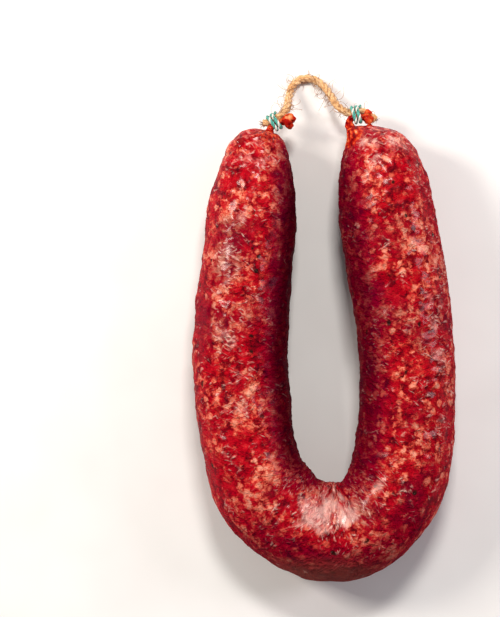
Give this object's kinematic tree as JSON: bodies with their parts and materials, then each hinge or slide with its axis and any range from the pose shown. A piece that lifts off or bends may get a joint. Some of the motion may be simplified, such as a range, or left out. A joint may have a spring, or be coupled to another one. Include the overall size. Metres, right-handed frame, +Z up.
{
  "type": "horseshoe cured sausage",
  "caption": "Dry-cured sausage bent into a horseshoe in its natural casing, with tied ends and a jute hanging loop.",
  "frame": {"origin": "on the table under the middle of the sausage and its bindings", "axes": "+X across the two arms, +Y from the bend towards the tied ends, +Z up from the table"},
  "size_m": [0.1054, 0.2044, 0.0385],
  "materials": {
    "cased_meat": "thin glossy natural casing over deep red cured meat with soft peach fat pieces",
    "twine": "matt two-colour cotton twine, green and white",
    "jute": "matt twisted jute with loose hairs"
  },
  "bodies": {
    "root": {"sausage": "cased_meat", "left_binding": "twine", "right_binding": "twine", "hanging_cord": "jute"}
  },
  "joints": []
}
